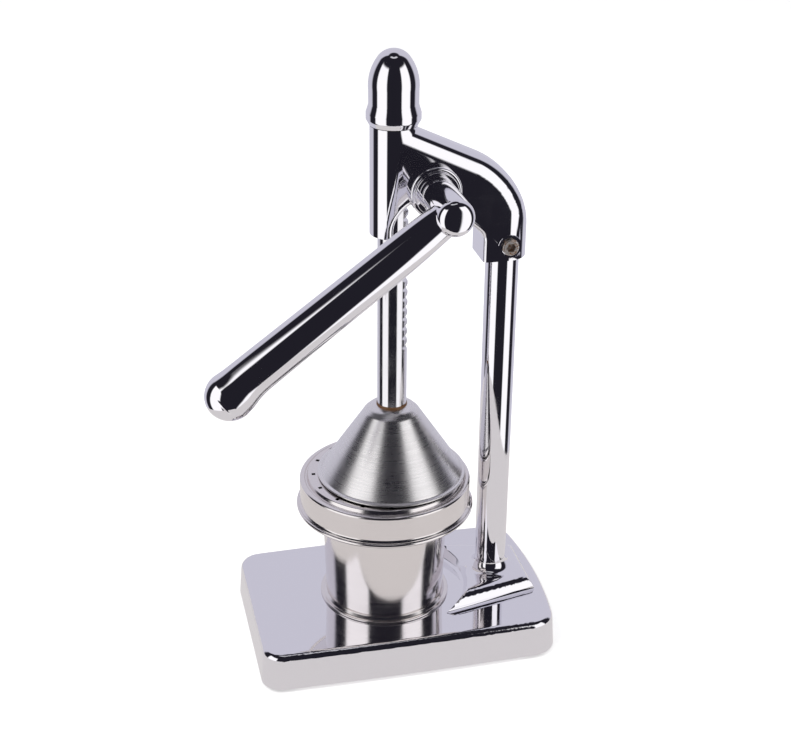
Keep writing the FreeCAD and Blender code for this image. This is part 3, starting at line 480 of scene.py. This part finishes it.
def makeCup(look):
    low, top = look["low"], look["top"]
    lipLow = top - look["lipThick"]
    turnedPiece("juice_cup", [
        (0, low + look["floorUp"], 0),
        (look["bodyLow"] - look["wall"], low + look["floorUp"], 1.0),
        (look["foot"] - look["wall"], low + look["footGap"], 0.4),
        (look["foot"], low + look["footGap"], 0.62),
        (look["foot"], low + look["footThick"] + look["footGap"], 0.62),
        (look["bodyLow"], low + look["footThick"], 2.3),
        (look["bodyHigh"], low + look["bodyTop"], 4.0),
        (look["throat"], lipLow, 0.8),
        (look["lip"], lipLow, 1.2),
        (look["lip"], top, 1.2),
        (look["lip"] - 2 * look["lipThick"], top, 0.5),
        (look["bodyHigh"] - look["wall"], low + look["bodyTop"] + look["wall"], 3.0),
        (look["bodyLow"] - look["wall"], low + look["floorUp"] + look["wall"], 1.5),
        (0, low + look["floorUp"] + look["wall"], 0),
    ], cupAxis)


washer = {"low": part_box("boss_washer")[0].x / mm, "top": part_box("boss_washer")[1].x / mm, "bore": 6.3,
          "rim": 13.0}


def onLeverAxis(mesh):
    # lays a piece that was turned upright at the origin on the lever's axis
    mesh.transform(Matrix.Translation((0, pivot.y, pivot.z)) @ Matrix.Rotation(math.pi / 2, 4, "Y"))
    return mesh


def makeWasher(look):
    # the washer between boss and lever
    outline = softened([(look["bore"], look["low"], 0.1), (look["rim"], look["low"], 0.45),
                        (look["rim"], look["top"], 0.45), (look["bore"], look["top"], 0.1)], 4)
    standIn("boss_washer", onLeverAxis(lathe("boss_washer", outline, Vector((0, 0, 0)), 96)))


tube = {**heights("column_tube"), "bore": 8.0, "radius": 10.0}


def makeColumnTube(look):
    turnedPiece("column_tube", [
        (look["bore"], look["low"], 0.2),
        (look["radius"], look["low"], 0.25),
        (look["radius"], look["top"], 0.25),
        (look["bore"], look["top"], 0.2),
    ], column)


makeCap(cap)
makeBell(bell)
makeCup(cup)
makeWasher(washer)
makeColumnTube(tube)
print("turned pieces made")


# Geometry Nodes: blocks set round an axis and cut out of a piece

def ringTree(name):
    tree = bpy.data.node_groups.new(name, "GeometryNodeTree")
    tree.interface.new_socket("Geometry", in_out="INPUT", socket_type="NodeSocketGeometry")
    for label, kind in (("Count", "Int"), ("Circle", "Float"), ("Phase", "Float"), ("Centre", "Vector"),
                        ("Block", "Vector"), ("Finish", "Material")):
        tree.interface.new_socket(label, in_out="INPUT", socket_type=f"NodeSocket{kind}")
    tree.interface.new_socket("Geometry", in_out="OUTPUT", socket_type="NodeSocketGeometry")
    add, link = tree.nodes.new, tree.links.new
    given, result = add("NodeGroupInput"), add("NodeGroupOutput")

    circle = add("GeometryNodeMeshCircle")
    link(given.outputs["Count"], circle.inputs["Vertices"])
    link(given.outputs["Circle"], circle.inputs["Radius"])
    block = add("GeometryNodeMeshCube")
    link(given.outputs["Block"], block.inputs["Size"])

    # each block faces out from the middle of the circle
    place, parts = add("GeometryNodeInputPosition"), add("ShaderNodeSeparateXYZ")
    angle = add("ShaderNodeMath")
    angle.operation = "ARCTAN2"
    link(place.outputs["Position"], parts.inputs["Vector"])
    link(parts.outputs["Y"], angle.inputs[0])
    link(parts.outputs["X"], angle.inputs[1])
    facing = add("ShaderNodeCombineXYZ")
    link(angle.outputs["Value"], facing.inputs["Z"])
    copies = add("GeometryNodeInstanceOnPoints")
    link(circle.outputs["Mesh"], copies.inputs["Points"])
    link(block.outputs["Mesh"], copies.inputs["Instance"])
    link(facing.outputs["Vector"], copies.inputs["Rotation"])

    turned, moved = add("ShaderNodeCombineXYZ"), add("GeometryNodeTransform")
    link(given.outputs["Phase"], turned.inputs["Z"])
    link(copies.outputs["Instances"], moved.inputs["Geometry"])
    link(given.outputs["Centre"], moved.inputs["Translation"])
    link(turned.outputs["Vector"], moved.inputs["Rotation"])
    solid = add("GeometryNodeRealizeInstances")
    link(moved.outputs["Geometry"], solid.inputs["Geometry"])

    cut = add("GeometryNodeMeshBoolean")
    cut.operation = "DIFFERENCE"
    cut.solver = "EXACT"
    link(given.outputs["Geometry"], cut.inputs["Mesh 1"])
    link(solid.outputs["Geometry"], cut.inputs["Mesh 2"])
    whole, finish = add("GeometryNodeRealizeInstances"), add("GeometryNodeSetMaterial")
    link(cut.outputs["Mesh"], whole.inputs["Geometry"])
    link(whole.outputs["Geometry"], finish.inputs["Geometry"])
    link(given.outputs["Finish"], finish.inputs["Material"])
    link(finish.outputs["Geometry"], result.inputs["Geometry"])
    return tree


def runTree(mesh, tree, **settings):
    # puts the mesh through the tree and gives back a plain mesh
    holder = bpy.data.objects.new(mesh.name, mesh)
    scene.collection.objects.link(holder)
    modifier = holder.modifiers.new("pattern", "NODES")
    modifier.node_group = tree
    sockets = {item.name: item.identifier for item in tree.interface.items_tree
               if item.in_out == "INPUT"}
    for name, value in settings.items():
        modifier[sockets[name]] = value
    bakeModifiers(holder)
    result = holder.data
    bpy.data.objects.remove(holder)
    return result


cutRing = ringTree("ringOfHoles")

pan = {**heights("strainer_pan"), "wall": 1.2, "band": 53.6, "flare": 54.6, "flareTall": 1.5,
       "shoulder": 3.0, "bandDrop": 2.0, "groove": 49.6, "grooveDrop": 2.9, "plate": 48.0, "mouth": 36.8,
       "drainCircle": 44.9, "drainSide": 2.3, "drainDeep": 5, "drainCount": 16, "drainPhase": -7.6}


def makePan(look):
    low, top, wall = look["low"], look["top"], look["wall"]
    bandTop, grooveUp = top - look["bandDrop"], top - look["grooveDrop"]
    outline = softened([
        (look["mouth"], top - wall, 0.3),
        (look["plate"] - wall, top - wall, 0.4),
        (look["groove"] - wall, grooveUp - wall, 0.4),
        (look["band"] - wall, grooveUp - wall, 0.8),
        (look["band"] - wall, low + 1.4, 0.5),
        (look["flare"] - wall, low, 0.1),
        (look["flare"], low, 0.12),
        (look["flare"], low + 0.5, 0.25),
        (look["band"], low + look["flareTall"], 1.0),
        (look["band"], bandTop, look["shoulder"]),
        (look["groove"] + 1.1, bandTop, 0.5),
        (look["groove"] + 0.5, grooveUp, 0.4),
        (look["groove"] - 0.4, grooveUp, 0.5),
        (look["plate"] + 0.15, top, 0.9),
        (look["mouth"], top, 0.3),
    ], 8)
    mesh = lathe("strainer_pan", outline, cupAxis, 192)
    side = look["drainSide"] * mm
    mesh = runTree(mesh, cutRing, Count=look["drainCount"], Circle=look["drainCircle"] * mm,
                   Phase=math.radians(look["drainPhase"]), Centre=(cupAxis.x, cupAxis.y, (top - wall) * mm),
                   Block=(side, side, look["drainDeep"] * mm), Finish=finishes[slotOf["strainer_pan"]])
    standIn("strainer_pan", mesh)


reamer = {"low": heights("reamer_dome")["low"], "wall": 1.0, "radius": 35.0, "flange": 43.0,
          "flangeLap": 0.8, "tall": 29.7, "roundness": 0.78, "ribs": 12, "ribHigh": 1.4,
          "fluteFloor": -0.2, "ribFade": 6,
          "slots": 24, "slotWide": 2.4, "slotTall": 7.0, "slotUp": 6.0, "slotDeep": 12, "slotPhase": 7.5,
          "rows": 40, "columns": 240}


def makeReamer(look):
    # a fluted dome: the radius swells at each rib and the flutes run out at the crown
    rows, columns = look["rows"], look["columns"]
    points, faces = [], []

    def dome(inset):
        # inset is 0 for the outer skin and 1 for the inner
        first = len(points)
        for row in range(rows):
            up = row / rows
            spread = math.cos(up * math.pi / 2) ** look["roundness"]
            for column in range(columns):
                angle = 2 * math.pi * column / columns
                wave = max(math.cos(angle * look["ribs"]), look["fluteFloor"])
                swell = look["ribHigh"] * wave * spread * (1 - inset) * min(1, look["ribFade"] * (1 - up))
                radius = (look["radius"] * spread + swell - look["wall"] * inset) * mm
                height = look["low"] + (look["tall"] - look["wall"] * inset) * up
                points.append((cupAxis.x + radius * math.cos(angle),
                               cupAxis.y + radius * math.sin(angle), height * mm))
        points.append((cupAxis.x, cupAxis.y, (look["low"] + look["tall"] - look["wall"] * inset) * mm))
        return first

    outer, inner = dome(0), dome(1)
    for first in (outer, inner):
        crown = first + rows * columns
        for column in range(columns):
            after = (column + 1) % columns
            for row in range(rows - 1):
                here = first + row * columns
                faces.append((here + column, here + after,
                              here + columns + after, here + columns + column))
            last = first + (rows - 1) * columns
            faces.append((last + column, last + after, crown))
    for column in range(columns):
        after = (column + 1) % columns
        faces.append((outer + column, outer + after, inner + after, inner + column))
    mesh = meshFrom("reamer_dome", points, faces)
    mesh = runTree(mesh, cutRing, Count=look["slots"], Circle=look["radius"] * mm,
                   Phase=math.radians(look["slotPhase"]),
                   Centre=(cupAxis.x, cupAxis.y, (look["low"] + look["slotUp"]) * mm),
                   Block=(look["slotDeep"] * mm, look["slotWide"] * mm, look["slotTall"] * mm),
                   Finish=finishes[slotOf["reamer_dome"]])
    near, flangeTop = look["radius"] - look["flangeLap"], look["low"] + look["wall"]
    flange = lathe("flange", softened([(near, look["low"], 0), (look["flange"], look["low"], 0.3),
                                       (look["flange"], flangeTop, 0.3), (near, flangeTop, 0)], 4),
                   cupAxis, 192)
    both = bmesh.new()
    both.from_mesh(mesh)
    both.from_mesh(flange)
    both.to_mesh(mesh)
    both.free()
    standIn("reamer_dome", mesh)


makePan(pan)
makeReamer(reamer)
print("strainer and reamer made")


# Lever: a turned hub with a flattened dome, and an arm that swells into a rounded end

lever = {"out": 53.0, "drop": 37.4, "flat": 0.86, "hubLow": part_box("lever_arm")[0].x / mm,
         "hubTop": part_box("lever_arm")[1].x / mm, "hub": 10.8, "crown": 28.0, "crownReach": 6.0,
         "bore": 6.0, "boreDeep": 30.0, "bulbAt": 159.5, "bulb": 14.6, "bulbDrop": 1.5,
         "seamAt": 164.3, "seamHigh": 0.22, "seamWide": 0.28, "seamFacing": 85, "seamSpan": 38}
# distance along the arm, reach above and below its line, in mm
armShape = [(-4, 8.4, 8.4), (0, 9.4, 9.2), (12, 10.7, 10.1), (35, 11.35, 11.3), (80, 11.8, 11.9),
            (140, 12.5, 12.7), (147, 12.55, 13.5), (153, 12.6, 15.1), (159.5, 13.1, 16.1)]
# degrees round the bulb's end at which it has a ring, close together at the seam
bulbRings = [3, 6, 9, 12, 14, 15.5, 17, 18, 18.5, 19, 19.5, 20, 21, 22.5, 24, *range(26, 90, 4)]
armRings, armColumns = 60, 128


def smoothTable(table, where):
    # cubic through the table's rows, with slopes taken across their neighbours
    last = len(table) - 1
    index = next((row for row in range(last) if where <= table[row + 1][0]), last - 1)
    left, right = table[index], table[index + 1]
    width = right[0] - left[0]
    share = (where - left[0]) / width
    values = []
    for column in range(1, len(left)):
        slopes = []
        for row in (index, index + 1):
            before, after = table[max(row - 1, 0)], table[min(row + 1, last)]
            slopes.append((after[column] - before[column]) / (after[0] - before[0]) * width)
        values.append((2 * share ** 3 - 3 * share ** 2 + 1) * left[column]
                      + (share ** 3 - 2 * share ** 2 + share) * slopes[0]
                      + (3 * share ** 2 - 2 * share ** 3) * right[column]
                      + (share ** 3 - share ** 2) * slopes[1])
    return values


def makeArm(look):
    # rings from the hub to the middle of the bulb, then round the bulb's end
    drop = math.radians(look["drop"])
    along = Vector((0, -math.cos(drop), -math.sin(drop)))
    below = Vector((0, math.sin(drop), -math.cos(drop)))
    root = Vector((press.x + look["out"] * mm, pivot.y, pivot.z))
    stations = []
    start = armShape[0][0]
    for step in range(armRings + 1):
        where = start + (look["bulbAt"] - start) * step / armRings
        stations.append((where, *smoothTable(armShape, where)))
    for degree in bulbRings:
        turn = math.radians(degree)
        half = look["bulb"] * math.cos(turn)
        stations.append((look["bulbAt"] + look["bulb"] * math.sin(turn), half - look["bulbDrop"],
                         half + look["bulbDrop"]))
    columns = armColumns
    points, faces = [], []
    for where, above, under in stations:
        centre = root + (along * where + below * (under - above) / 2) * mm
        half = (under + above) / 2
        for column in range(columns):
            angle = 2 * math.pi * column / columns
            onSeam = abs(math.degrees(angle) - look["seamFacing"]) < look["seamSpan"]
            seam = look["seamHigh"] * math.exp(-((where - look["seamAt"]) / look["seamWide"]) ** 2) * onSeam
            facing = below * math.cos(angle) + Vector((look["flat"], 0, 0)) * math.sin(angle)
            points.append(centre + facing * (half + seam) * mm)
    tip = len(points)
    points.append(root + (along * (look["bulbAt"] + look["bulb"]) + below * look["bulbDrop"]) * mm)
    for ring in range(len(stations) - 1):
        for column in range(columns):
            after = (column + 1) % columns
            faces.append((ring * columns + column, ring * columns + after,
                          (ring + 1) * columns + after, (ring + 1) * columns + column))
    last = (len(stations) - 1) * columns
    for column in range(columns):
        faces.append((last + column, last + (column + 1) % columns, tip))
    faces.append(tuple(range(columns)))
    return meshFrom("arm", points, faces)


hubSteps, crownSteps = 16, 8


def makeHub(look):
    # the flattened crown rolls over to the side in one even radius
    lean = math.asin(look["crownReach"] / look["crown"])
    roll = (look["hub"] - look["crownReach"]) / (1 - math.sin(lean))
    crownDrop = look["crown"] * (1 - math.cos(lean))
    outline = [(look["bore"], look["hubLow"]), (look["hub"] - 0.7, look["hubLow"]),
               (look["hub"] - 0.2, look["hubLow"] + 0.2), (look["hub"], look["hubLow"] + 0.7)]
    for step in range(hubSteps + 1):
        turn = math.pi / 2 + (lean - math.pi / 2) * step / hubSteps
        outline.append((look["crownReach"] - roll * math.sin(lean) + roll * math.sin(turn),
                        look["hubTop"] - crownDrop - roll * math.cos(lean) + roll * math.cos(turn)))
    for step in range(1, crownSteps + 1):
        turn = lean * (1 - step / crownSteps)
        outline.append((look["crown"] * math.sin(turn),
                        look["hubTop"] - look["crown"] * (1 - math.cos(turn))))
    boreEnd = look["hubLow"] + look["boreDeep"]
    outline += [(0, boreEnd), (look["bore"], boreEnd)]
    return onLeverAxis(lathe("hub", outline, Vector((0, 0, 0)), 128))


def makeLever(look):
    arm = bpy.data.objects.new("arm", makeArm(look))
    whole = bpy.data.objects.new("wholeLever", makeHub(look))
    for part in (arm, whole):
        scene.collection.objects.link(part)
    union = whole.modifiers.new("armJoined", "BOOLEAN")
    union.operation = "UNION"
    union.solver = "EXACT"
    union.object = arm
    bakeModifiers(whole)
    mesh = whole.data
    for part in (arm, whole):
        bpy.data.objects.remove(part)
    mesh.name = "lever_arm"
    standIn("lever_arm", mesh)


makeLever(lever)
print("lever made")


# Studio: a pale floor, and for reflections alone a small table and a dome of soft boxes and dark flags

studio = {
    "domeRadius": 3.0,
    "floorRadius": 6.0,
    "tableRadius": 0.30,
    "floorGlow": 0.36,
    "tableGlow": 0.29,
    "worldLight": 0.62,
    "floor": (0.94, 0.94, 0.94),
    "dark": (0.016, 0.015, 0.022),
    "box": (1.15, 1.14, 1.16),
    "backdrop": (0.63, 0.62, 0.71),
    "strip": (0.70, 0.70, 0.74),
    "table": (0.80, 0.77, 0.77),
}
# degrees over which each light comes up or dies away: round from the camera, or above level
lightEdges = {"boxLeft": (28, 33), "boxRight": (34, 39), "boxEnd": (76, 82), "boxTop": (40, 46),
              "wallStart": (106, 118), "wallTop": (66, 72), "stripLow": (72, 75),
              "stripHigh": (80, 83), "stripEnd": (60, 80)}
lamps = {"keyLamp": {"place": (0.5, -1.1, 1.5), "power": 16},
         "fillLamp": {"place": (0.6, 1.3, 1.2), "power": 8}}
lampSize, lampAim = 1.2, (0, 0, 0.1)
# the photograph's camera: radians, and the focal length in the photograph's pixels
cameraAt = Vector((press.x + 0.78971, press.y - 0.18378, 0.57914))
cameraYaw, cameraPitch, cameraRoll = 0.231294, 0.451519, 0.007684
focalPixels, photoWidth = 1479.82, 791


def softStep(value, edge):
    low, high = lightEdges[edge]
    share = min(max((value - low) / (high - low), 0), 1)
    return share * share * (3 - 2 * share)


def studioLight(side, up):
    # light that comes from one direction: degrees round from the camera, and degrees above level
    turn = abs(side)
    box = softStep(turn, "boxRight" if side > 0 else "boxLeft")
    box *= (1 - softStep(turn, "boxEnd")) * (1 - softStep(up, "boxTop"))
    wall = softStep(turn, "wallStart") * (1 - softStep(up, "wallTop"))
    strip = softStep(up, "stripLow") * (1 - softStep(up, "stripHigh")) * (1 - softStep(turn, "stripEnd"))
    shares = ((box, studio["box"]), (wall, studio["backdrop"]), (strip, studio["strip"]))
    return [dark + sum(share * (color[part] - dark) for share, color in shares)
            for part, dark in enumerate(studio["dark"])]


def makeDome():
    columns, rows = 180, 90
    points, faces, levels = [], [], []
    towardCamera = math.atan2(cameraAt.y - press.y, cameraAt.x - press.x)
    for row in range(rows + 1):
        up = math.radians(-90 + 180 * row / rows)
        for step in range(columns):
            turn = 2 * math.pi * step / columns
            points.append(Vector((math.cos(up) * math.cos(turn + towardCamera),
                                  math.cos(up) * math.sin(turn + towardCamera),
                                  math.sin(up))) * studio["domeRadius"])
            side = math.degrees(turn)
            levels.append((*studioLight(side - 360 if side > 180 else side, math.degrees(up)), 1))
    for row in range(rows):
        for step in range(columns):
            after = (step + 1) % columns
            faces.append((row * columns + step, (row + 1) * columns + step,
                          (row + 1) * columns + after, row * columns + after))
    mesh = bpy.data.meshes.new("softBoxes")
    mesh.from_pydata(points, [], faces)
    glow = mesh.color_attributes.new("glow", "FLOAT_COLOR", "POINT")
    glow.data.foreach_set("color", [part for level in levels for part in level])
    material = bpy.data.materials.new("softBoxGlow")
    material.use_nodes = True
    tree = material.node_tree
    tree.nodes.clear()
    color = tree.nodes.new("ShaderNodeAttribute")
    color.attribute_name = "glow"
    light = tree.nodes.new("ShaderNodeEmission")
    out = tree.nodes.new("ShaderNodeOutputMaterial")
    tree.links.new(color.outputs["Color"], light.inputs["Color"])
    tree.links.new(light.outputs["Emission"], out.inputs["Surface"])
    mesh.materials.append(material)
    dome = bpy.data.objects.new("softBoxes", mesh)
    scene.collection.objects.link(dome)
    dome.visible_camera = False
    dome.visible_diffuse = False
    dome.visible_transmission = False
    dome.visible_shadow = False


def disc(name, radius, height, color, glow, seenBy):
    # glow is light of its own, which only the rays named in seenBy see
    mesh = bpy.data.meshes.new(name)
    shape = bmesh.new()
    bmesh.ops.create_circle(shape, cap_ends=True, radius=radius, segments=96)
    shape.to_mesh(mesh)
    shape.free()
    mesh.transform(Matrix.Translation((0, 0, height)))
    material, tree, shader = newFinish(name, color, 0.0, 0.9)
    shader.inputs["Emission Color"].default_value = (*color, 1)
    rays = tree.nodes.new("ShaderNodeLightPath")
    tree.links.new(between(tree, anyOf(tree, [rays.outputs[ray] for ray in seenBy]), 0, glow),
                   shader.inputs["Emission Strength"])
    mesh.materials.append(material)
    piece = bpy.data.objects.new(name, mesh)
    scene.collection.objects.link(piece)
    return piece


def anyOf(tree, values):
    # 1 where any of the values is 1
    total = values[0]
    for value in values[1:]:
        larger = tree.nodes.new("ShaderNodeMath")
        larger.operation = "MAXIMUM"
        tree.links.new(total, larger.inputs[0])
        tree.links.new(value, larger.inputs[1])
        total = larger.outputs["Value"]
    return total


def makeStage():
    seenBy = ("Is Camera Ray", "Is Glossy Ray", "Is Transmission Ray")
    makeDome()
    floor = disc("paleFloor", studio["floorRadius"], -0.0002, studio["floor"], studio["floorGlow"], seenBy)
    floor.visible_glossy = False
    table = disc("paleTable", studio["tableRadius"], -0.0003, studio["table"], studio["tableGlow"], seenBy)
    table.visible_camera = False
    table.visible_diffuse = False
    table.visible_shadow = False

    world = bpy.data.worlds.new("studioWorld")
    scene.world = world
    world.use_nodes = True
    tree = world.node_tree
    background = tree.nodes["Background"]
    rays = tree.nodes.new("ShaderNodeLightPath")
    seen = anyOf(tree, [rays.outputs[ray] for ray in seenBy])
    tree.links.new(between(tree, seen, studio["worldLight"], 1.0), background.inputs["Strength"])
    background.inputs["Color"].default_value = (1, 1, 1, 1)

    for name, look in lamps.items():
        light = bpy.data.lights.new(name, "AREA")
        light.shape = "DISK"
        light.size = lampSize
        light.energy = look["power"]
        lamp = bpy.data.objects.new(name, light)
        scene.collection.objects.link(lamp)
        lamp.location = look["place"]
        toward = Vector(lampAim) - Vector(look["place"])
        lamp.rotation_euler = toward.to_track_quat("-Z", "Y").to_euler()
        lamp.visible_glossy = False


def makeCamera():
    level = math.cos(cameraPitch)
    ahead = Vector((-math.cos(cameraYaw) * level, math.sin(cameraYaw) * level, -math.sin(cameraPitch)))
    side = Vector((math.sin(cameraYaw), math.cos(cameraYaw), 0))
    above = side.cross(ahead)
    turnedSide = side * math.cos(cameraRoll) + above * math.sin(cameraRoll)
    turnedAbove = above * math.cos(cameraRoll) - side * math.sin(cameraRoll)
    lens = bpy.data.cameras.new("photoCamera")
    lens.sensor_fit = "HORIZONTAL"
    lens.sensor_width = 36
    lens.lens = focalPixels / photoWidth * lens.sensor_width
    camera = bpy.data.objects.new("photoCamera", lens)
    scene.collection.objects.link(camera)
    axes = Matrix((turnedSide, turnedAbove, -ahead)).transposed().to_4x4()
    camera.matrix_world = Matrix.Translation(cameraAt) @ axes
    scene.camera = camera


makeStage()
makeCamera()
scene.view_settings.view_transform = "Standard"
print("studio made")
